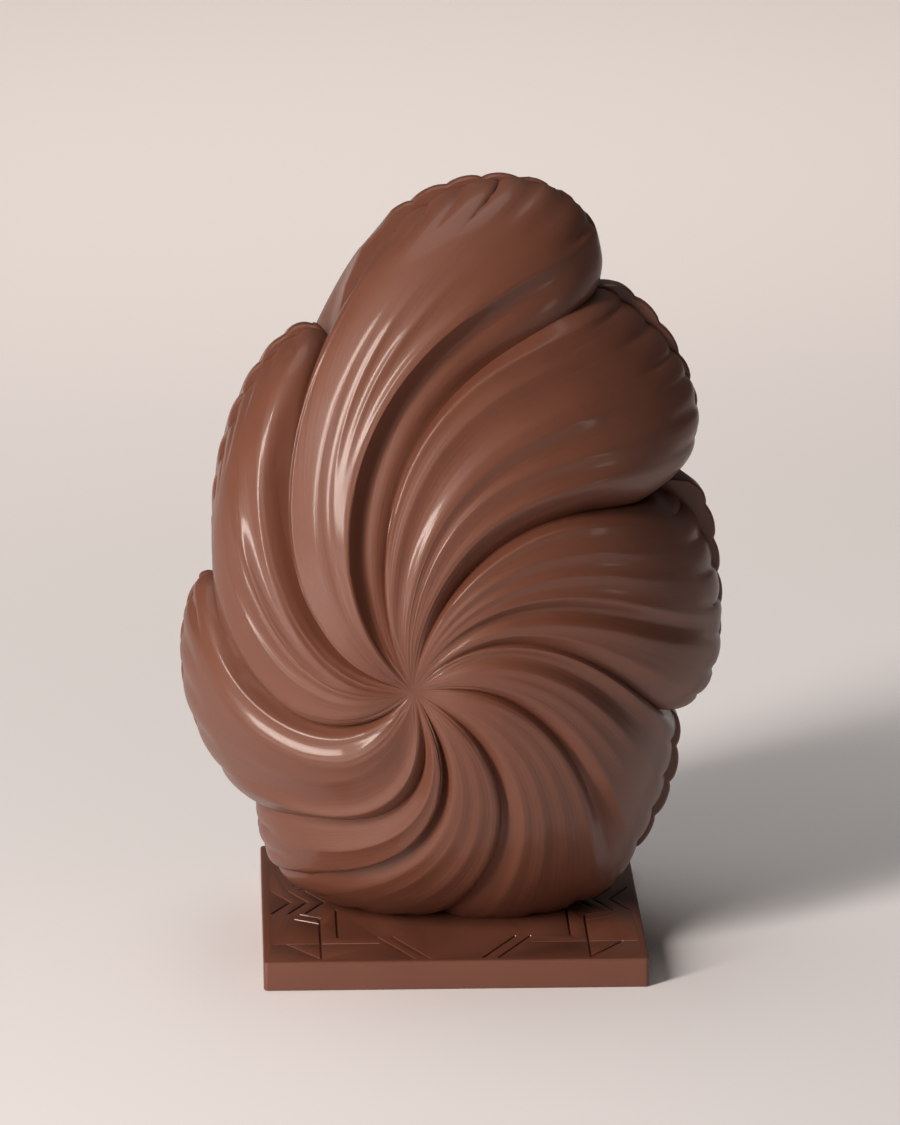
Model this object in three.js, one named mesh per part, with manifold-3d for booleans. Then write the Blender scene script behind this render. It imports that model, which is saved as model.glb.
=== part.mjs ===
// A moulded milk chocolate egg standing on a square chocolate tablet.
// Millimetres, +Z up, origin in the middle of the tablet's underside. The egg's two half shells
// meet at the plane y = 0; the front one faces -Y. Each half is a whirl of overlapping plumes
// that wind out clockwise, seen from the front, from an eye low on its face to a scalloped rim.
import * as THREE from "three";
import { mergeVertices } from "three/addons/utils/BufferGeometryUtils.js";
import Module from "manifold-3d";

// Tablet
const TABLET_SIDE = 100;
const TABLET_HEIGHT = 7.75;
const TABLET_CORNER = 1.2;
const TABLET_EDGE = 0.5;
const GROOVE_WIDTH = 0.9;
const GROOVE_DEPTH = 0.5;

// Smooth egg under the relief: two half ellipsoids that share their widest level.
const EGG_HALF_WIDTH = 66;
const EGG_HALF_DEPTH = 51.5;
const EGG_WIDEST_Z = 84;
const EGG_RISE = 110;
const EGG_DROP = 79;

// Whirl
const EYE_X = -11.4;
const EYE_Z = 80;
const EYE_DIMPLE = 2.2;
const EYE_DIMPLE_RADIUS = 9;
const RING_SPREAD = 4; // how late the rings take on the outline of the plumes
const BACK_LEAN = 9; // how far the top of the back half leans to +X inside its rim
const BACK_LEAN_SPREAD = 10; // how late its rings leave the lean for the rim
const RELIEF_GROWN = 0.34; // share of the way out at which the relief has its full height
const RELIEF_FADES = 0.72; // share at which it starts to flatten towards the rim
const RELIEF_AT_RIM = 0.15;
const CRESTS_RUN_STRAIGHT = 0.4; // share of the way out up to which crests don't drift
const CRESTS_LISTED_AT = 0.6; // share of the way out at which the crests stand as listed
const FLANK_LEAVES = 0.5; // shares of the way out between which a leading edge moves over from
const FLANK_ARRIVES = 0.95; // the first of its two listed places to the second

// Seam
const SEAM_GAP = 0.3;
const SEAM_CHAMFER = 0.5;

// Mesh
const ROWS = 20; // rings of faces from the eye to the rim
const FLANK_STEPS = 1; // columns of faces up a leading edge,
const SHALLOW_STEPS = 2; // across a shallow flute
const DEEP_STEPS = 3; // and across a deep one
const DEEP_FLUTE = 0.3;
const CUTTER_SIDE = 200; // of the block that takes off what is below the egg's foot
const WELD = 1e-4;

// The plumes, clockwise. crease: direction in degrees, anticlockwise from +X, of the groove in
// which the plume starts, at the eye, a third and two thirds of the way out and at the rim.
// groove: its depth. reach: the rim's distance from the eye in that groove. rim: how the outline
// swells between this groove and the next, as bulge * p^lead * (1-p)^tuck + sag * p * (1-p).
// behind: how the back half's outline swells past the front's, as bulge, lead and tuck. flank:
// where the crisp leading edge stands, as a share of the plume, half way out and at the rim.
// edge: its height and the depth of the flute behind it. crests: share of the way from the edge
// to the next groove, height, depth of the flute behind, and how fast the share grows outwards.
const PLUMES = [
  {
    name: "left", crease: [230, 213, 192, 160], groove: 3, reach: 54.6,
    rim: { bulge: 30.8, lead: 1.12, tuck: 0.36, sag: -31 },
    behind: { bulge: 4.4, lead: 2, tuck: 0.4 },
    flank: [0.09, 0.26], edge: [1.3, 0.5],
    crests: [
      [0.34, 1.9, 0.8, 0], [0.515, 2.4, 0.8, 0.08], [0.6, 3, 1.1, 0.2],
      [0.825, 2.2, 0.3, 0.26], [0.9, -1.6, 0.3, 0.2],
    ],
  },
  {
    name: "crown", crease: [162, 152, 128.5, 104.2], groove: 4.2, reach: 81.2,
    rim: { bulge: 89.3, lead: 1, tuck: 0.73, sag: 5.3 },
    behind: { bulge: 111, lead: 1.3, tuck: 5 },
    flank: [0.03, 0.3], edge: [2.2, 0.5],
    crests: [
      [0.37, 2.2, 0.3, 0], [0.515, 2.1, 0.6, -0.22], [0.6, 2.1, 0.8, 0], [0.69, 2.4, 0.3, 0.32],
      [0.725, 2.6, 0.6, 0.37], [0.8, -3.1, 0, 0.28], [0.92, -3, 0, 0.14],
    ],
  },
  {
    name: "upper_right", crease: [118, 103, 82.8, 62.1], groove: 5.2, reach: 108.8,
    rim: { bulge: 31.5, lead: 1.23, tuck: 0.31, sag: 5.8 },
    behind: { bulge: 23.7, lead: 0.8, tuck: 3.5 },
    flank: [0.04, 0.09], edge: [1.9, 0.5],
    crests: [
      [0.16, 1.9, 1.2, 0], [0.42, 2, 0.3, 0], [0.49, 2.3, 1.3, 0],
      [0.66, 2.1, 1, 0.3], [0.85, 2.1, 0.6, 0.2], [0.945, -1.4, 0, 0.1],
    ],
  },
  {
    name: "right", crease: [84, 64, 47, 32.5], groove: 3.8, reach: 75.1,
    rim: { bulge: 52.2, lead: 0.66, tuck: 0.56, sag: -45 },
    behind: { bulge: 25, lead: 0.4, tuck: 5 },
    flank: [0.05, 0.12], edge: [1.7, 0.5],
    crests: [
      [0.18, 1.9, 0.6, 0], [0.33, 1.9, 0.6, 0], [0.5, 1.8, 0.2, 0],
      [0.61, -1.3, 0.1, -0.15], [0.72, 1.8, 0.4, -0.2], [0.87, 1.2, 0.2, 0],
    ],
  },
  {
    name: "lower_right", crease: [52, 28, 3.4, -14.6], groove: 1.6, reach: 69.4,
    rim: { bulge: 11, lead: 0.35, tuck: 1.72, sag: -7.6 },
    behind: { bulge: 10.3, lead: 0.8, tuck: 1 },
    flank: [0.05, 0.08], edge: [1, 0.2],
    crests: [
      [0.16, -1.6, 0, 0], [0.36, 1.4, 0.4, 0], [0.58, 1.4, 0.4, 0],
      [0.8, 1.3, 0.4, 0], [0.9, -0.1, 0.2, -0.15],
    ],
  },
  {
    name: "foot_right", crease: [14, -6, -31, -49.5], groove: 2, reach: 87.2,
    rim: { bulge: 6, lead: 1, tuck: 0.6, sag: 0 },
    behind: { bulge: 0, lead: 1, tuck: 1 },
    flank: [0.08, 0.12], edge: [1.2, 0.4],
    crests: [[0.27, 1.3, 0.4, 0], [0.52, 1.5, 0.4, 0], [0.76, 1.2, 0.4, 0], [0.9, -0.5, 0.2, 0]],
  },
  {
    name: "foot_left", crease: [-22, -42, -64, -84], groove: 2.1, reach: 73.9,
    rim: { bulge: 5, lead: 1, tuck: 0.6, sag: 0 },
    behind: { bulge: 0, lead: 1, tuck: 1 },
    flank: [0.08, 0.12], edge: [1.2, 0.4],
    crests: [[0.3, 1.4, 0.5, 0], [0.6, 1.4, 0.4, 0], [0.79, 1.2, 0.4, 0]],
  },
  {
    name: "lower_left", crease: [-54, -72, -94.5, -120], groove: 2.6, reach: 71,
    rim: { bulge: 2, lead: 1, tuck: 0.6, sag: 0 },
    behind: { bulge: 0, lead: 1, tuck: 1 },
    flank: [0.06, 0.1], edge: [1.6, 0.4],
    crests: [[0.5, 1.7, 0.4, 0], [0.9, -1.2, 0.2, 0]],
  },
  {
    name: "far_left", crease: [-74, -86, -113, -133.7], groove: 2.8, reach: 58,
    rim: { bulge: 5.2, lead: 0.4, tuck: 0.2, sag: 1 },
    behind: { bulge: 0, lead: 1, tuck: 1 },
    flank: [0.13, 0.16], edge: [1.3, 0.5],
    crests: [
      [0.13, -0.2, 0.3, 0], [0.4, 1.6, 0.4, 0], [0.7, 3.5, 1.1, 0.35], [0.92, 1.3, 0.2, 0.12],
    ],
  },
];

const radians = THREE.MathUtils.degToRad;
const lerp = THREE.MathUtils.lerp;
const smoothstep = THREE.MathUtils.smoothstep;

// Value at share t of the cubic through four values at shares 0, 1/3, 2/3 and 1.
function through([a, b, c, d], t) {
  const u = 3 * t;
  return (
    (-a * (u - 1) * (u - 2) * (u - 3) + d * u * (u - 1) * (u - 2)) / 6 +
    (b * u * (u - 2) * (u - 3) - c * u * (u - 1) * (u - 3)) / 2
  );
}

// How the outline swells between two grooves, at a share of the way from one to the other.
function swelling({ bulge, lead, tuck }, share) {
  return bulge * share ** lead * (1 - share) ** tuck;
}

// The grooves and crests across a plume at a share of the way out, as [share across, height,
// depth of the flute behind].
function sectionNodes(plume, after, out) {
  const edgeAt = lerp(...plume.flank, smoothstep(out, FLANK_LEAVES, FLANK_ARRIVES));
  const further = Math.max(out, CRESTS_RUN_STRAIGHT) - CRESTS_LISTED_AT;
  const crests = plume.crests.map(([share, height, flute, drift]) => [
    lerp(edgeAt, 1, share + drift * further), height, flute,
  ]);
  return [[0, -plume.groove, 0], [edgeAt, ...plume.edge], ...crests, [1, -after.groove, 0]];
}

const plumeAfter = (index) => PLUMES[(index + 1) % PLUMES.length];

// Mesh columns in clockwise order, which keep to the crests: the plume's index and, across it,
// the interval between two crests and the share of that interval.
function meshColumns() {
  const columns = [];
  PLUMES.forEach((plume, index) => {
    const nodes = sectionNodes(plume, plumeAfter(index), CRESTS_LISTED_AT);
    for (let interval = 0; interval + 1 < nodes.length; interval++) {
      const across = nodes[interval][2] > DEEP_FLUTE ? DEEP_STEPS : SHALLOW_STEPS;
      const steps = interval === 0 ? FLANK_STEPS : across;
      for (let step = 0; step < steps; step++) {
        columns.push({ index, interval, share: step / steps });
      }
    }
  });
  return columns;
}

// Distance from the eye to the smooth egg's outline in a direction.
function smoothReach(direction) {
  const c = Math.cos(direction);
  const s = Math.sin(direction);
  for (const span of [EGG_RISE, EGG_DROP]) {
    const up = EYE_Z - EGG_WIDEST_Z;
    const a = (c / EGG_HALF_WIDTH) ** 2 + (s / span) ** 2;
    const b = (EYE_X * c) / EGG_HALF_WIDTH ** 2 + (up * s) / span ** 2;
    const d = (EYE_X / EGG_HALF_WIDTH) ** 2 + (up / span) ** 2 - 1;
    const reach = (-b + Math.sqrt(b * b - a * d)) / a;
    if (span === EGG_RISE ? up + reach * s >= 0 : up + reach * s <= 0) return reach;
  }
  return EGG_HALF_WIDTH;
}

// Point of one half's surface. out runs from 0 at the eye to 1 at the rim, side is -1 for the
// front half and 1 for the back half.
function surfacePoint(column, out, side) {
  const plume = PLUMES[column.index];
  const after = plumeAfter(column.index);
  const turn = column.index === PLUMES.length - 1 ? 360 : 0;

  const nodes = sectionNodes(plume, after, out);
  const [from, low, hollow] = nodes[column.interval];
  const [to, high] = nodes[column.interval + 1];
  const across = lerp(from, to, column.share);

  const direction = radians(
    lerp(through(plume.crease, out), through(after.crease, out) - turn, across)
  );
  const outline =
    lerp(plume.reach, after.reach, across) +
    swelling(plume.rim, across) +
    plume.rim.sag * across * (1 - across) +
    (side > 0 ? swelling(plume.behind, across) : 0);

  // Rings follow the smooth egg inside and the plumes' outline towards the rim.
  const smooth = out * smoothReach(direction);
  const radius = lerp(smooth, out * outline, out ** RING_SPREAD);
  const x = EYE_X + smooth * Math.cos(direction);
  const up = EYE_Z + smooth * Math.sin(direction) - EGG_WIDEST_Z;
  const span = up > 0 ? EGG_RISE : EGG_DROP;
  const inside = Math.max(0, 1 - (x / EGG_HALF_WIDTH) ** 2 - (up / span) ** 2);
  const depth = EGG_HALF_DEPTH * Math.sqrt(inside);
  const normal = new THREE.Vector3(
    x / EGG_HALF_WIDTH ** 2,
    depth / EGG_HALF_DEPTH ** 2,
    up / span ** 2
  ).normalize();

  const leaning = Math.max(0, up / EGG_RISE) ** 2 * (1 - out ** BACK_LEAN_SPREAD);
  const lean = side > 0 ? BACK_LEAN * leaning : 0;

  const flute = hollow * 4 * column.share * (1 - column.share);
  const grown = smoothstep(out, 0, RELIEF_GROWN);
  const kept = lerp(1, RELIEF_AT_RIM, smoothstep(out, RELIEF_FADES, 1));
  const dimple = EYE_DIMPLE * Math.exp(-((radius / EYE_DIMPLE_RADIUS) ** 2));
  const relief = (lerp(low, high, column.share) - flute) * grown * kept - dimple;

  return new THREE.Vector3(
    EYE_X + lean + radius * Math.cos(direction) + relief * normal.x,
    side * (SEAM_GAP / 2 + SEAM_CHAMFER + Math.max(0, depth + relief * normal.y)),
    EYE_Z + radius * Math.sin(direction) + relief * normal.z
  );
}

// One half of the egg as a closed sphere mesh: its first pole is the eye, its rings widen to the
// rim, and the last ring turns in to the flat face at the seam, whose middle is the other pole.
function halfGeometry(side) {
  const columns = meshColumns();
  if (side < 0) columns.reverse();
  const count = columns.length;
  const geometry = new THREE.SphereGeometry(1, count, ROWS + 2);
  const position = geometry.attributes.position;
  for (let vertex = 0; vertex < position.count; vertex++) {
    const column = columns[(vertex % (count + 1)) % count];
    const row = Math.floor(vertex / (count + 1));
    const out = Math.sin((Math.PI / 2) * Math.min(1, row / ROWS));
    const point = surfacePoint(column, out, side);
    if (row === ROWS + 1) {
      const inward = new THREE.Vector3(EYE_X - point.x, 0, EYE_Z - point.z).setLength(SEAM_CHAMFER);
      point.add(inward).setY((side * SEAM_GAP) / 2);
    }
    if (row === ROWS + 2) point.set(EYE_X, (side * SEAM_GAP) / 2, EYE_Z);
    position.setXYZ(vertex, point.x, point.y, point.z);
  }
  return geometry;
}

const wasm = await Module();
wasm.setup();

// A closed geometry as a manifold-3d solid.
function solidOf(geometry) {
  const bare = geometry.clone();
  bare.deleteAttribute("normal");
  bare.deleteAttribute("uv");
  const merged = mergeVertices(bare, WELD);
  return new wasm.Manifold(
    new wasm.Mesh({
      numProp: 3,
      vertProperties: merged.attributes.position.array,
      triVerts: new Uint32Array(merged.index.array),
    })
  );
}

// A manifold-3d solid as a flat-shaded geometry.
function geometryOf(solid) {
  const { vertProperties, triVerts } = solid.getMesh();
  const geometry = new THREE.BufferGeometry()
    .setAttribute("position", new THREE.BufferAttribute(vertProperties, 3))
    .setIndex(new THREE.BufferAttribute(triVerts, 1));
  geometry.computeVertexNormals();
  return geometry;
}

// Half of the egg, cut level where it stands on the tablet.
function eggHalf(side) {
  const below = new THREE.BoxGeometry(CUTTER_SIDE, CUTTER_SIDE, CUTTER_SIDE);
  below.translate(0, 0, TABLET_HEIGHT - CUTTER_SIDE / 2);
  return geometryOf(solidOf(halfGeometry(side)).subtract(solidOf(below)));
}

// Lines pressed into the front left quarter of the tablet's top, as [x0, y0, x1, y1]; the other
// quarters mirror it.
const QUARTER_LINES = [
  [-47.5, -9.5, -42.5, 0],
  [-43, -9.5, -38, 0],
  [-38.5, -9.5, -33.5, 0],
  [-41.5, -14.5, -35, -18.5],
  [-40, -10.5, -35, -13.5],
  [-35, -47.5, -35, -13.5],
  [-30.5, -30, -30.5, -7],
  [-47.5, -35, -20, -35],
  [-20, -30, -11, -47.5],
  [-16, -30, -7, -47.5],
  [-44, -35, -35, -47.5],
];

function grooveBar([x0, y0, x1, y1]) {
  const length = Math.hypot(x1 - x0, y1 - y0);
  const bar = new THREE.BoxGeometry(length + GROOVE_WIDTH, GROOVE_WIDTH, 2 * GROOVE_DEPTH);
  bar.rotateZ(Math.atan2(y1 - y0, x1 - x0));
  bar.translate((x0 + x1) / 2, (y0 + y1) / 2, TABLET_HEIGHT);
  return solidOf(bar);
}

function tabletGeometry() {
  const half = TABLET_SIDE / 2 - TABLET_EDGE;
  const outline = new THREE.Shape();
  const quarter = Math.PI / 2;
  for (let corner = 0; corner < 4; corner++) {
    const middle = corner * quarter + quarter / 2;
    const at = (half - TABLET_CORNER) * Math.SQRT2;
    const x = at * Math.cos(middle);
    const y = at * Math.sin(middle);
    outline.absarc(x, y, TABLET_CORNER, corner * quarter, (corner + 1) * quarter, false);
  }
  const slab = new THREE.ExtrudeGeometry(outline, {
    depth: TABLET_HEIGHT - 2 * TABLET_EDGE,
    bevelEnabled: true,
    bevelThickness: TABLET_EDGE,
    bevelSize: TABLET_EDGE,
    bevelSegments: 2,
    curveSegments: 4,
  });
  slab.translate(0, 0, TABLET_EDGE);
  let solid = solidOf(slab);
  for (const [x0, y0, x1, y1] of QUARTER_LINES) {
    for (const mx of [1, -1]) {
      for (const my of [1, -1]) {
        solid = solid.subtract(grooveBar([mx * x0, my * y0, mx * x1, my * y1]));
      }
    }
  }
  return geometryOf(solid);
}

const CHOCOLATE = { color: 0x693e2d, roughness: 0.36, metalness: 0 };

function named(name, geometry) {
  const mesh = new THREE.Mesh(geometry, new THREE.MeshStandardMaterial(CHOCOLATE));
  mesh.name = name;
  return mesh;
}

const egg = new THREE.Group();
egg.add(
  named("egg_front_half", eggHalf(-1)),
  named("egg_back_half", eggHalf(1)),
  named("chocolate_tablet", tabletGeometry())
);

export default egg;
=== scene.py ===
"""Looks, light and camera for a moulded milk chocolate egg standing on a chocolate tablet.

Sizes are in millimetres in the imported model's frame, and become metres where a mesh is finished.
The egg's two half shells meet at the plane y = 0, and the front one faces -Y. Each half is a
whirl of overlapping plumes, which wind out clockwise, seen from the front, from an eye low on
the face of the egg to a scalloped rim.
"""

from __future__ import annotations

import logging
import math
from collections.abc import Iterator
from dataclasses import dataclass, field
from enum import Enum
from typing import Any

import bmesh
import bpy
import numpy as np
from mathutils import Matrix, Vector


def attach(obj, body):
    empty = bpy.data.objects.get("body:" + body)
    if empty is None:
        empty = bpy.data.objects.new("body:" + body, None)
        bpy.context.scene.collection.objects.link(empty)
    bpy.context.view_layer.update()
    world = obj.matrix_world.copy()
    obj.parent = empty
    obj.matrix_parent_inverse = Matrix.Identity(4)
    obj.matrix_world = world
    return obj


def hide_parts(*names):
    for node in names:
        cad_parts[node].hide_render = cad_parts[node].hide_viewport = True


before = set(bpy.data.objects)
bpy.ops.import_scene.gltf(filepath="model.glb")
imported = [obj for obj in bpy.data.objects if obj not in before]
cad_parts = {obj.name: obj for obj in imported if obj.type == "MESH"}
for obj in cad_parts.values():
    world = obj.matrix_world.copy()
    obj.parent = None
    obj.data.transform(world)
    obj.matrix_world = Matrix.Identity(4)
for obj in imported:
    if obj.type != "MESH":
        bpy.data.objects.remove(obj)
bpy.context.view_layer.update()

Array = np.ndarray
MM = 0.001
# Shares of the way from the eye to the rim: where the ridges' shares across are stated, and out
# to where their lines run straight.
STATED_OUT = 0.6
STRAIGHT_OUT = 0.4
log = logging.getLogger("chocolate_egg")


class Side(Enum):
    """Which half shell of the egg, and the way along Y that it bulges."""

    FRONT = -1
    BACK = 1


def lerp(a: Any, b: Any, share: Any) -> Any:
    """The value a share of the way from a to b."""
    return a + (b - a) * share


def smoothstep(x: Any, low: float, high: float) -> Any:
    """0 below low, 1 above high and an S-curve between them."""
    s = np.clip((x - low) / (high - low), 0.0, 1.0)
    return s * s * (3.0 - 2.0 * s)


def through(values: tuple[float, float, float, float], t: Array) -> Array:
    """The cubic through four values.

    Args:
        values: The values at shares 0, 1/3, 2/3 and 1.
        t: The shares to find it at.

    Returns:
        The cubic's value at each share.
    """
    a, b, c, d = values
    u = 3.0 * t
    ends = (-a * (u - 1) * (u - 2) * (u - 3) + d * u * (u - 1) * (u - 2)) / 6
    return ends + (b * u * (u - 2) * (u - 3) - c * u * (u - 1) * (u - 3)) / 2


def placed(name: str, data: bpy.types.ID) -> bpy.types.Object:
    """Puts an object in the scene.

    Args:
        name: The object's name.
        data: Its mesh, light or camera.

    Returns:
        The object.
    """
    made = bpy.data.objects.new(name, data)
    bpy.context.scene.collection.objects.link(made)
    return made


def finished(name: str, bm: bmesh.types.BMesh) -> bpy.types.Object:
    """Turns a bmesh into an object of the scene and frees it.

    Args:
        name: The object's and its mesh's name.
        bm: The bmesh, in metres.

    Returns:
        The object.
    """
    mesh = bpy.data.meshes.new(name)
    bm.to_mesh(mesh)
    bm.free()
    return placed(name, mesh)


# ---------------------------------------------------------------------------------------------
# Finishes
# ---------------------------------------------------------------------------------------------


def linear(colour: str, alpha: float = 1.0) -> tuple[float, float, float, float]:
    """An sRGB hex colour such as "#6e4231" as linear RGBA.

    Args:
        colour: The colour, with its number sign.
        alpha: The opacity.

    Returns:
        Red, green, blue and alpha.
    """
    parts = [int(colour[i : i + 2], 16) / 255 for i in (1, 3, 5)]
    r, g, b = [p / 12.92 if p <= 0.04045 else ((p + 0.055) / 1.055) ** 2.4 for p in parts]
    return (r, g, b, alpha)


def add_node(
    tree: bpy.types.NodeTree,
    kind: str,
    settings: dict[str, Any] | None = None,
    inputs: dict[str | int, Any] | None = None,
) -> bpy.types.Node:
    """Adds a shader node with its settings, socket values and incoming links.

    Args:
        tree: The node tree.
        kind: The node's type, such as "ShaderNodeMix".
        settings: Properties of the node itself.
        inputs: For each input, by name or number, a value or the socket that feeds it.

    Returns:
        The node.
    """
    node = tree.nodes.new(kind)
    for name, value in (settings or {}).items():
        setattr(node, name, value)
    for key, value in (inputs or {}).items():
        if isinstance(value, bpy.types.NodeSocket):
            tree.links.new(value, node.inputs[key])
        else:
            node.inputs[key].default_value = value
    return node


@dataclass(frozen=True)
class MilkChocolate:
    """Tempered milk chocolate as it leaves a polished mould.

    The cocoa butter that set against the mould gives a satin sheen with a soft gloss over it, so
    broad faces glow and crests catch thin bright lines. The body is a warm brown that drifts a
    little paler and deeper in slow clouds.

    Attributes:
        name: The material's name.
        body, pale, deep: The body's colour, and the two that it drifts between.
        cloud_mm, cloud_share: The size of the clouds, and how much they tint the body.
        roughness, roughness_drift: The satin's roughness, and how far the clouds change it.
        index: The cocoa butter's refractive index.
        gloss, gloss_roughness: The soft gloss over the satin.
        glow, glow_mm: How much light goes into the body, and how far.
        grain_mm, grain_depth_mm: The fine grain.
        hairlines: Whether the tool that cut the mould left streaks along the flutes.
        streaks: Streaks round the whirl, which makes them about 1 mm apart midway out.
        streak_breaks: How often a streak breaks off between the eye and the rim.
        streak_depth_mm: How deep the streaks are.
        bump: How strongly grain and streaks turn the light.
    """

    name: str
    body: str = "#693e2d"
    pale: str = "#784a37"
    deep: str = "#583122"
    cloud_mm: float = 22.0
    cloud_share: float = 0.35
    roughness: float = 0.56
    roughness_drift: float = 0.05
    index: float = 1.46
    gloss: float = 0.36
    gloss_roughness: float = 0.15
    glow: float = 0.06
    glow_mm: float = 1.2
    grain_mm: float = 0.9
    grain_depth_mm: float = 0.035
    hairlines: bool = True
    streaks: float = 300.0
    streak_breaks: float = 1.6
    streak_depth_mm: float = 0.14
    bump: float = 0.6

    def make(self) -> bpy.types.Material:
        """Builds the material.

        Returns:
            The material.
        """
        material = bpy.data.materials.new(self.name)
        material.use_nodes = True
        tree = material.node_tree
        tree.nodes.clear()
        place = add_node(tree, "ShaderNodeTexCoord")
        spot = place.outputs["Object"]

        # Slow clouds, as cocoa butter sets unevenly over a wide face.
        cloud = add_node(
            tree,
            "ShaderNodeTexNoise",
            {"noise_dimensions": "3D"},
            {"Vector": spot, "Scale": 1 / (self.cloud_mm * MM), "Detail": 3.0, "Roughness": 0.55},
        )
        tone = add_node(
            tree,
            "ShaderNodeMix",
            {"data_type": "RGBA"},
            {0: cloud.outputs["Fac"], 6: linear(self.deep), 7: linear(self.pale)},
        )
        body = add_node(
            tree,
            "ShaderNodeMix",
            {"data_type": "RGBA"},
            {0: self.cloud_share, 6: linear(self.body), 7: tone.outputs[2]},
        )

        # A fine grain, far too small to see as shapes, that breaks the gloss into satin.
        grain = add_node(
            tree,
            "ShaderNodeTexNoise",
            {"noise_dimensions": "3D"},
            {"Vector": spot, "Scale": 1 / (self.grain_mm * MM), "Detail": 4.0, "Roughness": 0.6},
        )
        rough = add_node(
            tree,
            "ShaderNodeMapRange",
            None,
            {
                "Value": cloud.outputs["Fac"],
                "From Min": 0.3,
                "From Max": 0.7,
                "To Min": self.roughness - self.roughness_drift,
                "To Max": self.roughness + self.roughness_drift,
            },
        )
        height = add_node(
            tree,
            "ShaderNodeMath",
            {"operation": "MULTIPLY"},
            {0: grain.outputs["Fac"], 1: self.grain_depth_mm * MM},
        ).outputs[0]

        if self.hairlines:
            # Hair-fine streaks that run along the flutes, from the tool that cut the mould.
            wound = add_node(tree, "ShaderNodeUVMap", {"uv_map": "flutes"})
            stretched = add_node(
                tree,
                "ShaderNodeMapping",
                None,
                {"Vector": wound.outputs["UV"], "Scale": (self.streaks, self.streak_breaks, 1.0)},
            )
            streak = add_node(
                tree,
                "ShaderNodeTexNoise",
                {"noise_dimensions": "2D"},
                {"Vector": stretched.outputs[0], "Scale": 1.0, "Detail": 2.0, "Roughness": 0.5},
            )
            height = add_node(
                tree,
                "ShaderNodeMath",
                {"operation": "MULTIPLY_ADD"},
                {0: streak.outputs["Fac"], 1: self.streak_depth_mm * MM, 2: height},
            ).outputs[0]

        bump = add_node(
            tree, "ShaderNodeBump", None, {"Height": height, "Strength": self.bump, "Distance": 1.0}
        )
        shader = add_node(
            tree,
            "ShaderNodeBsdfPrincipled",
            None,
            {
                "Base Color": body.outputs[2],
                "Roughness": rough.outputs[0],
                "IOR": self.index,
                "Subsurface Weight": self.glow,
                "Subsurface Radius": (1.0, 0.45, 0.3),
                "Subsurface Scale": self.glow_mm * MM,
                "Coat Weight": self.gloss,
                "Coat Roughness": self.gloss_roughness,
                "Coat IOR": self.index,
                "Normal": bump.outputs[0],
            },
        )
        add_node(tree, "ShaderNodeOutputMaterial", None, {"Surface": shader.outputs["BSDF"]})
        return material


@dataclass(frozen=True)
class PaleTable:
    """A painted white table top: nearly matt, so that it gives the egg a soft bounce."""

    colour: str = "#f5f6f8"
    roughness: float = 0.55

    def make(self) -> bpy.types.Material:
        """Builds the material.

        Returns:
            The material.
        """
        material = bpy.data.materials.new("pale_table")
        material.use_nodes = True
        shader = material.node_tree.nodes["Principled BSDF"]
        shader.inputs["Base Color"].default_value = linear(self.colour)
        shader.inputs["Roughness"].default_value = self.roughness
        return material


# ---------------------------------------------------------------------------------------------
# The egg
# ---------------------------------------------------------------------------------------------


@dataclass(frozen=True)
class Ridge:
    """A crest, or a hollow where its height is low, that runs along a plume.

    Attributes:
        at: Share of the way from the plume's leading edge to the next groove, at STATED_OUT.
        height: Height over the smooth egg.
        flute: How far the strip behind it dips.
        drift: How fast that share grows with the share of the way out.
        soft: Length across over which its line is rounded.
        born: Share of the way out at which it rises.
        gone: Share of the way out at which it sinks again.
        fade: How far on either side of those it rises or sinks.
    """

    at: float
    height: float
    flute: float
    drift: float = 0.0
    soft: float = 0.3
    born: float = -1.0
    gone: float = 2.0
    fade: float = 0.1

    def at_out(self, out: Array) -> Array:
        """Its share across at each share of the way out; it runs straight near the eye."""
        return self.at + self.drift * (np.maximum(out, STRAIGHT_OUT) - STATED_OUT)

    def life(self, out: Array) -> Array:
        """How much of the ridge there is at each share of the way out, from 0 to 1."""
        rise = smoothstep(out, self.born - self.fade, self.born + self.fade)
        return rise * (1.0 - smoothstep(out, self.gone - self.fade, self.gone + self.fade))


@dataclass(frozen=True)
class Plume:
    """One of the overlapping plumes of the whirl, clockwise from its own groove to the next.

    Attributes:
        name: Where it stands on the egg.
        crease: The groove's direction from the eye in degrees, anticlockwise from +X, at the
            eye, a third and two thirds of the way out, and at the rim.
        reach: The rim's distance from the eye in the groove.
        rim: How the rim swells to the next groove: bulge, lead, tuck and sag.
        behind: How the back half's rim swells past the front's: bulge, lead and tuck.
        flank: Share at which the leading edge stands, half way out and at the rim.
        edge: The leading edge's height, the depth of the flute behind it and its softness.
        groove: How deep the plume's own groove is.
        ridges: Ridges between the leading edge and the next groove.
        notches: Shares at which the rim is nicked between two lobes.
        columns: How many columns of faces it gets.
    """

    name: str
    crease: tuple[float, float, float, float]
    reach: float
    rim: tuple[float, float, float, float]
    flank: tuple[float, float]
    edge: tuple[float, float, float]
    groove: float
    ridges: tuple[Ridge, ...]
    notches: tuple[float, ...]
    columns: int
    behind: tuple[float, float, float] = (0.0, 1.0, 1.0)

    def section(self) -> tuple[Ridge, ...]:
        """The leading edge and the ridges in order."""
        height, flute, soft = self.edge
        return (Ridge(0.0, height, flute, soft=soft), *self.ridges)


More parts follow.
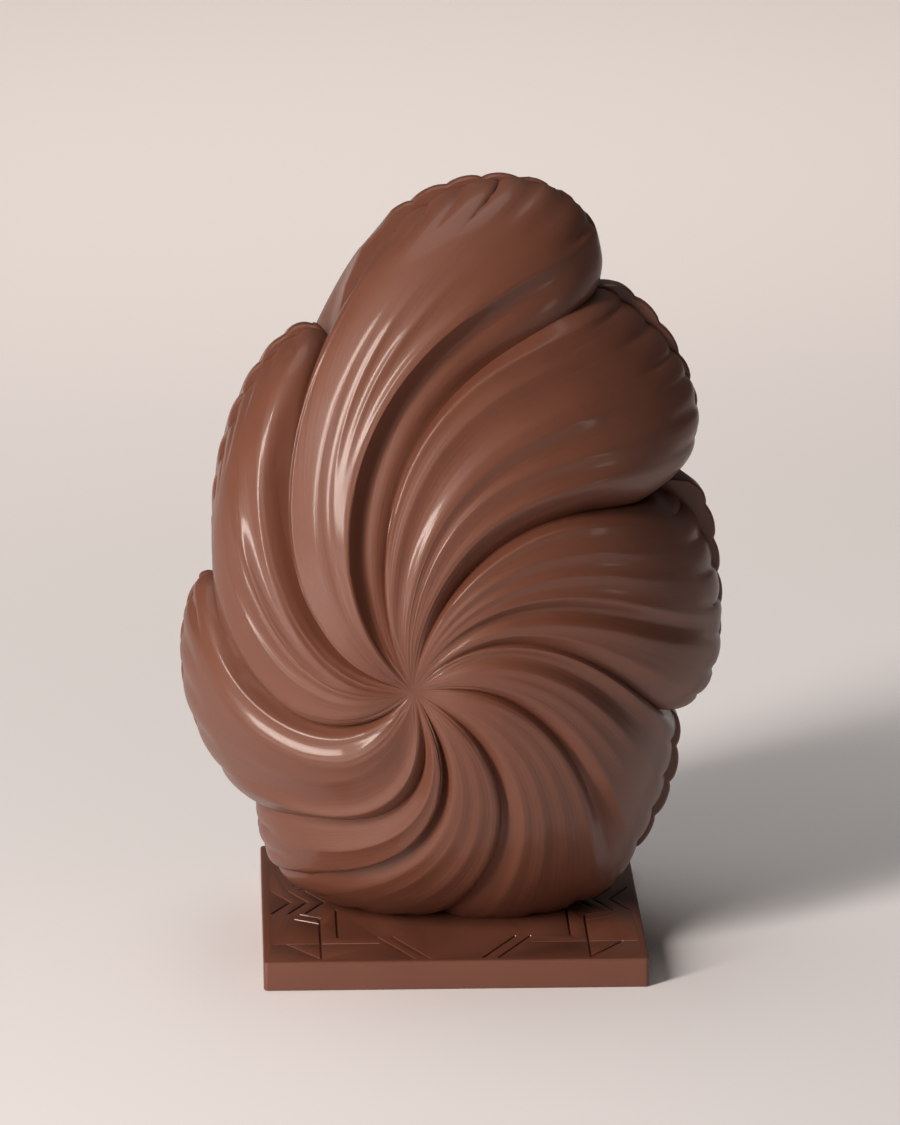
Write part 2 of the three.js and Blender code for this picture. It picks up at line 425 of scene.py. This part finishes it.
PLUMES: tuple[Plume, ...] = (
    Plume(
        "left",
        crease=(230, 213, 192, 160),
        reach=54.6,
        rim=(30.8, 1.12, 0.36, -31),
        flank=(0.09, 0.26),
        edge=(1.3, 0.5, 1.6),
        groove=3.0,
        ridges=(
            Ridge(0.34, 1.9, 0.8, gone=0.88),
            Ridge(0.515, 2.4, 0.8, drift=0.08, gone=0.87),
            Ridge(0.6, 3.0, 1.1, drift=0.2, gone=0.91),
            Ridge(0.825, 2.2, 0.3, drift=0.26, soft=2.4),
            Ridge(0.9, -1.6, 0.3, drift=0.2, soft=1.4),
        ),
        notches=(0.1, 0.22, 0.36, 0.49, 0.61, 0.72, 0.82, 0.91),
        columns=66,
        behind=(4.4, 2, 0.4),
    ),
    Plume(
        "crown",
        crease=(162, 152, 128.5, 104.2),
        reach=81.2,
        rim=(89.3, 1, 0.73, 5.3),
        flank=(0.03, 0.3),
        edge=(2.6, 0.0, 0.3),
        groove=4.2,
        ridges=(
            Ridge(0.03, 2.0, 0.1, soft=0.3),
            Ridge(0.37, 2.2, 0.3, soft=1.4),
            Ridge(0.515, 2.1, 0.6, drift=-0.22, soft=0.35, gone=0.94),
            Ridge(0.6, 2.1, 0.8, soft=0.35, born=0.66, gone=0.92),
            Ridge(0.69, 2.4, 0.3, drift=0.32, soft=0.35),
            Ridge(0.725, 2.6, 0.6, drift=0.37, soft=0.35),
            Ridge(0.8, -3.1, 0.0, drift=0.28, soft=1.0),
            Ridge(0.92, -3.0, 0.0, drift=0.14, soft=1.2),
        ),
        notches=(0.1, 0.2, 0.3, 0.4, 0.5, 0.6, 0.7, 0.79, 0.88),
        columns=80,
        behind=(111, 1.3, 5),
    ),
    Plume(
        "upper_right",
        crease=(118, 103, 82.8, 62.1),
        reach=108.8,
        rim=(31.5, 1.23, 0.31, 5.8),
        flank=(0.04, 0.09),
        edge=(1.9, 0.5, 0.5),
        groove=5.2,
        ridges=(
            Ridge(0.16, 1.9, 1.2, soft=0.8),
            Ridge(0.42, 2.0, 0.3, soft=0.8),
            Ridge(0.49, 2.3, 1.3, soft=0.7, gone=0.92),
            Ridge(0.66, 2.1, 1.0, drift=0.3, soft=0.8),
            Ridge(0.85, 2.1, 0.6, drift=0.2, soft=0.8),
            Ridge(0.945, -1.4, 0.0, drift=0.1, soft=0.8),
        ),
        notches=(0.13, 0.29, 0.46, 0.6, 0.73, 0.87),
        columns=66,
        behind=(23.7, 0.8, 3.5),
    ),
    Plume(
        "right",
        crease=(84, 64, 47, 32.5),
        reach=75.1,
        rim=(52.2, 0.66, 0.56, -45),
        flank=(0.05, 0.12),
        edge=(1.7, 0.5, 0.3),
        groove=3.8,
        ridges=(
            Ridge(0.18, 1.9, 0.6),
            Ridge(0.33, 1.9, 0.6),
            Ridge(0.5, 1.8, 0.2, soft=0.4),
            Ridge(0.61, -1.3, 0.1, drift=-0.15, soft=0.8),
            Ridge(0.72, 1.8, 0.4, drift=-0.2, soft=0.5),
            Ridge(0.87, 1.2, 0.2),
        ),
        notches=(0.12, 0.25, 0.38, 0.52, 0.66, 0.8, 0.91),
        columns=64,
        behind=(25, 0.4, 5),
    ),
    Plume(
        "lower_right",
        crease=(52, 28, 3.4, -14.6),
        reach=69.4,
        rim=(11, 0.35, 1.72, -7.6),
        flank=(0.05, 0.08),
        edge=(1.0, 0.2, 0.6),
        groove=1.6,
        ridges=(
            Ridge(0.16, -1.6, 0.0, soft=1.0),
            Ridge(0.36, 1.4, 0.4, soft=0.6),
            Ridge(0.58, 1.4, 0.4, soft=0.6),
            Ridge(0.8, 1.3, 0.4, soft=0.8),
            Ridge(0.9, -0.1, 0.2, drift=-0.15, soft=1.0),
        ),
        notches=(0.18, 0.38, 0.58, 0.78),
        columns=52,
        behind=(10.3, 0.8, 1),
    ),
    Plume(
        "foot_right",
        crease=(14, -6, -31, -49.5),
        reach=87.2,
        rim=(6, 1, 0.6, 0),
        flank=(0.08, 0.12),
        edge=(1.2, 0.4, 0.8),
        groove=2.0,
        ridges=(
            Ridge(0.27, 1.3, 0.4, soft=0.8),
            Ridge(0.52, 1.5, 0.4, soft=0.8),
            Ridge(0.76, 1.2, 0.4, soft=0.8),
            Ridge(0.9, -0.5, 0.2, soft=0.8),
        ),
        notches=(0.25, 0.5, 0.75),
        columns=44,
    ),
    Plume(
        "foot_left",
        crease=(-22, -42, -64, -84),
        reach=73.9,
        rim=(5, 1, 0.6, 0),
        flank=(0.08, 0.12),
        edge=(1.2, 0.4, 0.8),
        groove=2.1,
        ridges=(
            Ridge(0.3, 1.4, 0.5, soft=0.8),
            Ridge(0.6, 1.4, 0.4, soft=0.8),
            Ridge(0.79, 1.2, 0.4, soft=0.8),
        ),
        notches=(0.25, 0.5, 0.75),
        columns=38,
    ),
    Plume(
        "lower_left",
        crease=(-54, -72, -94.5, -120),
        reach=71,
        rim=(2, 1, 0.6, 0),
        flank=(0.06, 0.1),
        edge=(1.6, 0.4, 0.6),
        groove=2.6,
        ridges=(
            Ridge(0.5, 1.7, 0.4),
            Ridge(0.9, -1.2, 0.2, soft=0.8),
        ),
        notches=(0.33, 0.66),
        columns=32,
    ),
    Plume(
        "far_left",
        crease=(-74, -86, -113, -133.7),
        reach=58,
        rim=(5.2, 0.4, 0.2, 1),
        flank=(0.13, 0.16),
        edge=(1.3, 0.5, 0.5),
        groove=2.8,
        ridges=(
            Ridge(0.13, -0.2, 0.3, soft=0.8),
            Ridge(0.4, 1.6, 0.4, soft=0.6),
            Ridge(0.7, 3.5, 1.1, drift=0.35, soft=1.8),
            Ridge(0.92, 1.3, 0.2, drift=0.12, soft=0.4),
        ),
        notches=(0.2, 0.4, 0.6, 0.76, 0.9),
        columns=52,
    ),
)


@dataclass(frozen=True)
class SmoothEgg:
    """The smooth form under the relief: two half ellipsoids that share their widest level."""

    half_width: float = 66.0
    half_depth: float = 51.5
    widest_z: float = 84.0
    rise: float = 110.0
    drop: float = 79.0

    def reach(self, x0: float, z0: float, direction: Array) -> Array:
        """Distance to the smooth outline in the plane of the seam.

        Args:
            x0: Where the ray starts, across.
            z0: Where the ray starts, up.
            direction: Its angle in radians, anticlockwise from +X.

        Returns:
            The distance for each direction.
        """
        c, s = np.cos(direction), np.sin(direction)
        up = z0 - self.widest_z
        found = []
        for span in (self.rise, self.drop):
            a = (c / self.half_width) ** 2 + (s / span) ** 2
            b = x0 * c / self.half_width**2 + up * s / span**2
            d = (x0 / self.half_width) ** 2 + (up / span) ** 2 - 1
            found.append((-b + np.sqrt(b * b - a * d)) / a)
        return np.where(up + found[0] * s >= 0, found[0], found[1])

    def depth_and_normal(self, x: Array, z: Array) -> tuple[Array, Array]:
        """The surface in front of points of the seam's plane.

        Args:
            x: Across.
            z: Up.

        Returns:
            The distance from the seam's plane, and the outward normals as (x, outwards, z).
        """
        up = z - self.widest_z
        span = np.where(up > 0, self.rise, self.drop)
        inside = np.maximum(0.0, 1 - (x / self.half_width) ** 2 - (up / span) ** 2)
        depth = self.half_depth * np.sqrt(inside)
        normal = np.stack([x / self.half_width**2, depth / self.half_depth**2, up / span**2])
        return depth, normal / np.linalg.norm(normal, axis=0)


@dataclass
class WhirlEgg:
    """The egg: two half shells with the same whirl of plumes.

    Attributes:
        blank: The smooth form.
        eye_x, eye_z: The middle of the whirl.
        dimple, dimple_radius: The hollow at the eye.
        ring_spread: How late the rings take on the outline of the plumes.
        lean, lean_spread: How far the top of the back half leans to +X inside its rim, and how
            late its rings leave the lean for the rim.
        grown: Share of the way out at which the relief has its full height.
        fades, at_rim: Where the relief starts to flatten, and how much is left at the rim.
        flutes_end: Where the flutes run out, so that the rim has plain lobes.
        flank_moves: Shares of the way out between which the leading edge moves over.
        groove_soft: Length across over which a groove is rounded.
        rounding: The steps, each the softness of a line, over which it is rounded, and the weight
            of each.
        least_width: The least width that a plume is taken to have there.
        nick, nick_starts: How deep the rim is nicked between two lobes, and how far out the nicks
            start.
        lobe_blunt, rim_inset: How blunt the lobes are, and how far inside the outline they end.
        lobe_shift: How much further on the back half's nicks are.
        seam_gap, seam_chamfer: The joint between the halves.
        film_inset, film_clear: The film of set chocolate in the joint: how far inside the edge it
            ends, and its distance from the back half.
        foot_z: The height of the flat on which the egg stands.
        rows: Rings of faces from the eye to the rim.
        least_columns: The fewest columns of faces between two ridges.
        crowding: How far the columns crowd towards the ridges: 0 not at all, 1 most.
        weld: Points closer than this become one.
        sharp_degrees: The angle past which an edge is shaded sharp.
    """

    blank: SmoothEgg = field(default_factory=SmoothEgg)
    eye_x: float = -11.4
    eye_z: float = 80.0
    dimple: float = 2.2
    dimple_radius: float = 9.0
    ring_spread: float = 4.0
    lean: float = 9.0
    lean_spread: float = 10.0
    grown: float = 0.34
    fades: float = 0.72
    at_rim: float = 0.15
    flutes_end: float = 0.95
    flank_moves: tuple[float, float] = (0.5, 0.95)
    groove_soft: float = 0.15
    rounding: tuple[tuple[int, float], ...] = (
        (-2, 0.0625), (-1, 0.25), (0, 0.375), (1, 0.25), (2, 0.0625)
    )
    least_width: float = 2.0
    nick: float = 1.3
    nick_starts: float = 0.92
    lobe_blunt: float = 0.55
    rim_inset: float = 0.16
    lobe_shift: float = 0.055
    seam_gap: float = 0.3
    seam_chamfer: float = 0.5
    film_inset: float = 1.0
    film_clear: float = 0.02
    foot_z: float = 7.75
    rows: int = 164
    least_columns: int = 3
    crowding: float = 0.5
    weld: float = 1e-4
    sharp_degrees: float = 42.0

    def section_at(
        self, plume: Plume, after: Plume, out: Array
    ) -> list[tuple[Array, Array, Array, Array]]:
        """The plume's grooves and ridges at each share of the way out.

        Args:
            plume: The plume.
            after: The next plume clockwise.
            out: Shares of the way from the eye to the rim.

        Returns:
            For each, its share across, height, the dip behind it and its softness.
        """
        one = np.ones_like(out)
        edge_at = lerp(*plume.flank, smoothstep(out, *self.flank_moves))
        ridges = plume.section()
        shares = [r.at_out(out) for r in ridges]
        ats = [lerp(edge_at, 1.0, share) for share in shares]
        lives = [r.life(out) for r in ridges]
        kept = 1.0 - smoothstep(out, self.fades, self.flutes_end)
        rows = [(0 * one, -plume.groove * one, 0 * one, self.groove_soft * one)]
        for k, (ridge, at, life) in enumerate(zip(ridges, ats, lives)):
            height = ridge.height * one
            if 0 < k < len(ridges) - 1:
                share = (shares[k] - shares[k - 1]) / (shares[k + 1] - shares[k - 1])
                level = lerp(ridges[k - 1].height, ridges[k + 1].height, share)
                height = lerp(level, height, life)
            next_life = lives[k + 1] if k + 1 < len(ridges) else one
            flute = ridge.flute * np.minimum(life, next_life) * kept
            rows.append((at, height, flute, ridge.soft * one))
        rows.append((one, -after.groove * one, 0 * one, self.groove_soft * one))
        return rows

    @staticmethod
    def across_section(
        rows: list[tuple[Array, Array, Array, Array]], across: Array
    ) -> tuple[Array, Array]:
        """The relief's height and softness at points across a plume.

        Args:
            rows: The plume's section, from section_at.
            across: Shares of the way across.

        Returns:
            The height and the softness at each point.
        """
        height, soft = np.zeros_like(across), np.zeros_like(across)
        for (a, low, dip, soft_a), (b, high, _, soft_b) in zip(rows, rows[1:]):
            s = np.clip((across - a) / (b - a), 0.0, 1.0)
            inside = (across >= a) & (across <= b)
            height = np.where(inside, lerp(low, high, s) - dip * 4 * s * (1 - s), height)
            soft = np.where(inside, lerp(soft_a, soft_b, s), soft)
        return height, soft

    def columns(self) -> list[tuple[int, int, float]]:
        """The mesh's columns, clockwise, which keep to the ridges' lines.

        Returns:
            For each, the plume's number, the interval between two ridges and the share of it.
        """
        found = []
        for number, plume in enumerate(PLUMES):
            after = PLUMES[(number + 1) % len(PLUMES)]
            rows = self.section_at(plume, after, np.array([STATED_OUT]))
            ats = [float(row[0][0]) for row in rows]
            for interval, (a, b) in enumerate(zip(ats, ats[1:])):
                count = max(self.least_columns, round(plume.columns * (b - a)))
                for step in range(count):
                    crowded = 0.5 - 0.5 * math.cos(math.pi * step / count)
                    found.append((number, interval, lerp(step / count, crowded, self.crowding)))
        return found

    def nicks(self, plume: Plume, across: Array, side: Side) -> Array:
        """How deep the rim is nicked between the lobes of a plume.

        Args:
            plume: The plume.
            across: Shares of the way across.
            side: Which half; the back half's nicks are a little further on.

        Returns:
            The depth at each point, least on the crowns of the lobes.
        """
        shift = self.lobe_shift if side is Side.BACK else 0.0
        ends = [0.0, *[n + shift for n in plume.notches], 1.0]
        depth = np.zeros_like(across)
        for a, b in zip(ends, ends[1:]):
            s = np.clip((across - a) / (b - a), 0.0, 1.0)
            inside = (across >= a) & (across <= b)
            lobe = (4 * s * (1 - s)) ** self.lobe_blunt
            depth = np.where(inside, self.rim_inset + self.nick * (1 - lobe), depth)
        return depth

    def surface(self, number: int, interval: Array, share: Array, out: Array, side: Side) -> Array:
        """Points of one half's surface.

        Args:
            number: The plume's number.
            interval: For each point, the interval between two ridges that it is in.
            share: For each point, the share of that interval.
            out: For each point, the share of the way from the eye to the rim.
            side: Which half.

        Returns:
            The points as rows of x, y and z, then the share across.
        """
        plume, after = PLUMES[number], PLUMES[(number + 1) % len(PLUMES)]
        # After the last plume comes the first, a full turn further on.
        turn = 360 if number == len(PLUMES) - 1 else 0
        rows = self.section_at(plume, after, out)
        ats = np.stack([row[0] for row in rows])
        pick = np.arange(len(out))
        across = lerp(ats[interval, pick], ats[interval + 1, pick], share)

        start = np.radians(through(plume.crease, out))
        end = np.radians(through(after.crease, out) - turn)
        direction = lerp(start, end, across)
        bulge, lead, tuck, sag = plume.rim
        outline = lerp(plume.reach, after.reach, across)
        outline = outline + bulge * across**lead * (1 - across) ** tuck + sag * across * (1 - across)
        if side is Side.BACK:
            bulge, lead, tuck = plume.behind
            outline = outline + bulge * across**lead * (1 - across) ** tuck

        smooth = out * self.blank.reach(self.eye_x, self.eye_z, direction)
        radius = lerp(smooth, out * outline, out**self.ring_spread)
        x = self.eye_x + smooth * np.cos(direction)
        z = self.eye_z + smooth * np.sin(direction)
        depth, normal = self.blank.depth_and_normal(x, z)
        lean = self.lean * (np.maximum(0.0, z - self.blank.widest_z) / self.blank.rise) ** 2
        lean *= (1 - out**self.lean_spread) * (side is Side.BACK)

        # Each line of the relief is rounded over its own softness.
        width = np.maximum(self.least_width, np.abs(end - start) * smooth)
        _, soft = self.across_section(rows, across)
        relief = np.zeros_like(across)
        for step, weight in self.rounding:
            at = np.clip(across + step * soft / width, 0.0, 1.0)
            relief += weight * self.across_section(rows, at)[0]
        grown = smoothstep(out, 0.0, self.grown)
        kept = lerp(1.0, self.at_rim, smoothstep(out, self.fades, 1.0))
        dimple = self.dimple * np.exp(-((radius / self.dimple_radius) ** 2))
        nicked = self.nicks(plume, across, side) * smoothstep(out, self.nick_starts, 1.0)
        relief = relief * grown * kept - dimple - nicked

        bulged = np.maximum(0.0, depth + relief * normal[1])
        x = self.eye_x + lean + radius * np.cos(direction) + relief * normal[0]
        y = side.value * (self.seam_gap / 2 + self.seam_chamfer + bulged)
        z = self.eye_z + radius * np.sin(direction) + relief * normal[2]
        return np.stack([x, y, z, across])

    def grid(self, side: Side) -> Array:
        """All points of one half, from the eye to the rim and in to the film on the flat.

        Args:
            side: Which half.

        Returns:
            An array of columns by rings by x, y, z, plume plus share across, and share out. The
            last three rings are the edge of the flat and the two edges of the film on it.
        """
        columns = self.columns()
        rings = self.rows + 1
        out = np.sin(math.pi / 2 * np.arange(rings) / self.rows)
        # How far inside the rim, and how far along Y, each of the last rings is.
        face = side.value * self.seam_gap / 2
        film_edge = self.seam_chamfer + self.film_inset
        flat = ((self.seam_chamfer, face), (film_edge, face), (film_edge, self.film_face(side)))
        made = np.zeros((len(columns), rings + len(flat), 5))
        for number in range(len(PLUMES)):
            mine = [i for i, c in enumerate(columns) if c[0] == number]
            interval = np.repeat([columns[i][1] for i in mine], rings)
            share = np.repeat([columns[i][2] for i in mine], rings)
            x, y, z, across = self.surface(number, interval, share, np.tile(out, len(mine)), side)
            table = np.stack([x, y, z, number + across, np.tile(out, len(mine))], -1)
            made[mine, :rings] = table.reshape(len(mine), rings, 5)
        rim = made[:, rings - 1]
        inward = np.array([self.eye_x, 0.0, self.eye_z]) - rim[:, :3] * [1, 0, 1]
        inward /= np.linalg.norm(inward, axis=1, keepdims=True)
        for ring, (inset, y) in enumerate(flat, start=rings):
            made[:, ring] = rim
            made[:, ring, :3] += inward * inset
            made[:, ring, 1] = y
        return made

    def film_face(self, side: Side) -> float:
        """How far along Y the middle of a half's flat is; the front's carries the set film."""
        face = self.seam_gap / 2
        return face - self.film_clear if side is Side.FRONT else face

    def build(self, side: Side, name: str) -> bpy.types.Object:
        """Models one half shell.

        A grid is wrapped round: its first row closes at the eye, its lines follow the ridges and
        its rows widen to the rim; the last rows turn in to the flat at the seam and close there.

        Args:
            side: Which half.
            name: The object's name.

        Returns:
            The object.
        """
        grid = self.grid(side)
        count, rings = grid.shape[:2]
        bm = bmesh.new()
        bmesh.ops.create_grid(bm, x_segments=count, y_segments=rings + 1, size=1.0)
        flutes = bm.loops.layers.uv.new("flutes")
        eye = (self.eye_x, float(grid[:, 0, 1].mean()), self.eye_z)
        middle = (self.eye_x, self.film_face(side), self.eye_z)
        place: dict[int, tuple[int, int]] = {}
        for vert in bm.verts:
            column = round((vert.co.x + 1) / 2 * count)
            ring = round((vert.co.y + 1) / 2 * (rings + 1))
            place[vert.index] = (column, ring)
            if ring in (0, rings + 1):
                vert.co = Vector(middle if ring else eye) * MM
            else:
                vert.co = Vector(grid[column % count, ring - 1, :3]) * MM
        for face in bm.faces:
            for loop in face.loops:
                column, ring = place[loop.vert.index]
                across, out = grid[column % count, min(max(ring - 1, 0), rings - 1), 3:]
                across = len(PLUMES) if column == count else across
                loop[flutes].uv = (across / len(PLUMES), out)
        bmesh.ops.remove_doubles(bm, verts=bm.verts, dist=self.weld * MM)
        bmesh.ops.recalc_face_normals(bm, faces=bm.faces)
        cut = bmesh.ops.bisect_plane(
            bm,
            geom=bm.verts[:] + bm.edges[:] + bm.faces[:],
            plane_co=(0, 0, self.foot_z * MM),
            plane_no=(0, 0, -1),
            clear_outer=True,
        )
        edges = [e for e in cut["geom_cut"] if isinstance(e, bmesh.types.BMEdge)]
        bmesh.ops.holes_fill(bm, edges=edges)
        piece = finished(name, bm)
        piece.data.shade_smooth()
        piece.data.set_sharp_from_angle(angle=math.radians(self.sharp_degrees))
        return piece


# ---------------------------------------------------------------------------------------------
# The tablet
# ---------------------------------------------------------------------------------------------


@dataclass
class Tablet:
    """The square chocolate tablet under the egg, with straight lines pressed into its top.

    Attributes:
        side, height: Its size.
        corner, edge: How its corners and edges are rounded.
        groove_width, groove_depth, groove_taper: The pressed lines, and how much narrower they
            are at the bottom.
        ease, ease_degrees: How far the pressed edges are rounded, and the angle past which one is.
        sharp_degrees: The angle past which an edge is shaded sharp.
        lines: Lines of the front left quarter as x0, y0, x1 and y1; the others mirror it.
    """

    side: float = 100.0
    height: float = 7.75
    corner: float = 1.2
    edge: float = 0.5
    groove_width: float = 0.9
    groove_depth: float = 0.5
    groove_taper: float = 0.35
    ease: float = 0.12
    ease_degrees: float = 35.0
    sharp_degrees: float = 30.0
    lines: tuple[tuple[float, float, float, float], ...] = (
        (-47.5, -9.5, -42.5, 0),
        (-43, -9.5, -38, 0),
        (-38.5, -9.5, -33.5, 0),
        (-41.5, -14.5, -35, -18.5),
        (-40, -10.5, -35, -13.5),
        (-35, -47.5, -35, -13.5),
        (-30.5, -30, -30.5, -7),
        (-47.5, -35, -20, -35),
        (-20, -30, -11, -47.5),
        (-16, -30, -7, -47.5),
        (-44, -35, -35, -47.5),
    )

    def all_lines(self) -> Iterator[tuple[float, float, float, float]]:
        """The lines of all four quarters.

        Yields:
            x0, y0, x1 and y1 of each line.
        """
        for x0, y0, x1, y1 in self.lines:
            for mx in (1, -1):
                for my in (1, -1):
                    yield (mx * x0, my * y0, mx * x1, my * y1)

    @staticmethod
    def rise(edge: bmesh.types.BMEdge) -> float:
        """How far an edge rises from one end to the other."""
        return abs(edge.verts[0].co.z - edge.verts[1].co.z)

    @staticmethod
    def in_metres(name: str, bm: bmesh.types.BMesh) -> bpy.types.Object:
        """Turns a bmesh in millimetres into an object in metres."""
        bmesh.ops.scale(bm, vec=(MM, MM, MM), verts=bm.verts)
        return finished(name, bm)

    def slab(self) -> bpy.types.Object:
        """Models the plain tablet, with its corners and edges rounded.

        Returns:
            The object.
        """
        bm = bmesh.new()
        bmesh.ops.create_cube(bm, size=1.0)
        bmesh.ops.scale(bm, vec=(self.side, self.side, self.height), verts=bm.verts)
        bmesh.ops.translate(bm, vec=(0, 0, self.height / 2), verts=bm.verts)
        upright = [e for e in bm.edges if self.rise(e) > self.height / 2]
        bmesh.ops.bevel(
            bm, geom=upright, offset=self.corner, segments=5, profile=0.5, affect="EDGES", material=-1
        )
        level = [e for e in bm.edges if self.rise(e) < self.height / 2]
        bmesh.ops.bevel(
            bm, geom=level, offset=self.edge, segments=3, profile=0.5, affect="EDGES", material=-1
        )
        return self.in_metres("chocolate_slab", bm)

    def bars(self) -> bpy.types.Object:
        """Models the tapered bars that press the lines.

        Returns:
            The bars, as one object.
        """
        bm = bmesh.new()
        for x0, y0, x1, y1 in self.all_lines():
            made = bmesh.ops.create_cube(bm, size=1.0)["verts"]
            length = math.hypot(x1 - x0, y1 - y0)
            for vert in made:
                taper = self.groove_taper if vert.co.z < 0 else 0.0
                vert.co.x *= length + self.groove_width - taper
                vert.co.y *= self.groove_width - taper
            bmesh.ops.scale(bm, vec=(1, 1, 2 * self.groove_depth), verts=made)
            turned = Matrix.Rotation(math.atan2(y1 - y0, x1 - x0), 4, "Z")
            middle = Vector(((x0 + x1) / 2, (y0 + y1) / 2, self.height))
            bmesh.ops.transform(bm, matrix=Matrix.Translation(middle) @ turned, verts=made)
        return self.in_metres("line_bars", bm)

    def build(self, name: str) -> bpy.types.Object:
        """Models the tablet.

        Args:
            name: The object's name.

        Returns:
            The object.
        """
        slab, bars = self.slab(), self.bars()
        press = slab.modifiers.new("press", "BOOLEAN")
        press.operation = "DIFFERENCE"
        press.solver = "EXACT"
        press.use_self = True
        press.object = bars
        ease = slab.modifiers.new("ease", "BEVEL")
        ease.width = self.ease * MM
        ease.segments = 2
        ease.limit_method = "ANGLE"
        ease.angle_limit = math.radians(self.ease_degrees)
        bpy.context.view_layer.update()
        shaped = slab.evaluated_get(bpy.context.evaluated_depsgraph_get())
        mesh = bpy.data.meshes.new_from_object(shaped)
        bpy.data.objects.remove(bars)
        bpy.data.objects.remove(slab)
        mesh.name = name
        mesh.shade_smooth()
        mesh.set_sharp_from_angle(angle=math.radians(self.sharp_degrees))
        return placed(name, mesh)


# ---------------------------------------------------------------------------------------------
# Stage
# ---------------------------------------------------------------------------------------------


@dataclass
class Studio:
    """A pale table, soft daylight from the left, and the camera.

    Attributes:
        azimuth, elevation: The camera's direction in degrees; azimuth 0 looks along +Y.
        distance: From the camera to what it looks at.
        lens, sensor: The camera's focal length, and the length of its sensor.
        target: What the camera looks at.
        nearest, farthest: What the camera sees lies between these distances.
        lamps_aim: What the soft lamps shine at.
        table_reach: How far the table top goes each way.
        pool_bulb: How large the lamps of the pools are.
        room_colour, room_strength: The even light of the room.
    """

    azimuth: float = -2.0
    elevation: float = 15.4
    distance: float = 1820.0
    lens: float = 222.0
    sensor: float = 36.0
    target: tuple[float, float, float] = (0.0, 0.0, 101.0)
    nearest: float = 50.0
    farthest: float = 50000.0
    lamps_aim: tuple[float, float, float] = (0.0, 0.0, 100.0)
    table_reach: float = 6000.0
    pool_bulb: float = 200.0
    room_colour: str = "#f4ece8"
    room_strength: float = 0.07

    def floor(self) -> None:
        """Lays the table top."""
        bm = bmesh.new()
        bmesh.ops.create_grid(bm, x_segments=1, y_segments=1, size=self.table_reach * MM)
        top = finished("table_top", bm)
        top.data.materials.append(PaleTable().make())

    def lamp(
        self,
        name: str,
        at: tuple[float, float, float],
        size: tuple[float, float],
        watts: float,
        colour: str,
    ) -> None:
        """Hangs a soft lamp that faces the egg.

        Args:
            name: The lamp's name.
            at: Where it hangs, in millimetres.
            size: Its width and height in millimetres.
            watts: Its power.
            colour: Its sRGB colour.
        """
        light = bpy.data.lights.new(name, "AREA")
        light.shape = "ELLIPSE"
        light.size, light.size_y = size[0] * MM, size[1] * MM
        light.energy = watts
        light.color = linear(colour)[:3]
        lamp = placed(name, light)
        lamp.location = Vector(at) * MM
        aim = Vector(self.lamps_aim) * MM - lamp.location
        lamp.rotation_euler = aim.to_track_quat("-Z", "Y").to_euler()
        lamp.visible_camera = False

    def pool(
        self, name: str, at: tuple[float, float, float], cone: float, watts: float, colour: str
    ) -> None:
        """Pours a soft pool of light on the table beside or behind the egg.

        Args:
            name: The lamp's name.
            at: Where it hangs, in millimetres; it shines straight down.
            cone: The whole angle of its cone in degrees.
            watts: Its power.
            colour: Its sRGB colour.
        """
        light = bpy.data.lights.new(name, "SPOT")
        light.energy = watts
        light.color = linear(colour)[:3]
        light.spot_size = math.radians(cone)
        light.spot_blend = 1.0
        light.shadow_soft_size = self.pool_bulb * MM
        placed(name, light).location = Vector(at) * MM

    def room(self) -> None:
        """Fills the room with even, faintly warm light."""
        world = bpy.data.worlds.new("room")
        world.use_nodes = True
        shader = world.node_tree.nodes["Background"]
        shader.inputs["Color"].default_value = linear(self.room_colour)
        shader.inputs["Strength"].default_value = self.room_strength
        bpy.context.scene.world = world

    def camera(self) -> None:
        """Sets up the camera."""
        a, e = math.radians(self.azimuth), math.radians(self.elevation)
        back = Vector((math.sin(a) * math.cos(e), -math.cos(a) * math.cos(e), math.sin(e)))
        data = bpy.data.cameras.new("camera")
        data.lens = self.lens
        data.sensor_width = self.sensor
        data.clip_start, data.clip_end = self.nearest * MM, self.farthest * MM
        camera = placed("camera", data)
        camera.location = (Vector(self.target) + back * self.distance) * MM
        camera.rotation_euler = back.to_track_quat("Z", "Y").to_euler()
        bpy.context.scene.camera = camera

    def build(self) -> None:
        """Sets the whole stage."""
        self.floor()
        self.room()
        self.lamp("window_left", (-1042, -972, 720), (300, 1300), 33.0, "#fff0e6")
        self.lamp("soft_overhead", (-250, 300, 1900), (1500, 1500), 8.5, "#fffaf6")
        self.lamp("glint_right", (1300, -650, 110), (240, 160), 0.3, "#fff4ec")
        self.pool("table_wash", (0, 1250, 1500), 84.0, 52.0, "#ffebdd")
        self.pool("shadow_fill", (240, 215, 700), 32.0, 3.4, "#fff6f0")
        self.camera()
        bpy.context.scene.view_settings.view_transform = "Standard"


def carry(piece: bpy.types.Object, node: str, material: bpy.types.Material) -> None:
    """Hands a finished piece over to the frame.

    Args:
        piece: The piece.
        node: The CAD node that it stands for.
        material: Its finish.
    """
    piece.data.materials.clear()
    piece.data.materials.append(material)
    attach(piece, "root")
    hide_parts(node)
    log.info("%s: %d faces for %s", piece.name, len(piece.data.polygons), node)


def main() -> None:
    """Builds the egg, the tablet and the stage."""
    logging.basicConfig(level=logging.INFO, format="%(message)s")
    shell = MilkChocolate("milk_chocolate_moulded").make()
    foot = MilkChocolate("milk_chocolate_tablet", hairlines=False).make()
    egg = WhirlEgg()
    carry(egg.build(Side.FRONT, "front_half_shell"), "egg_front_half", shell)
    carry(egg.build(Side.BACK, "back_half_shell"), "egg_back_half", shell)
    carry(Tablet().build("tablet"), "chocolate_tablet", foot)
    Studio().build()


if __name__ == "__main__":
    main()
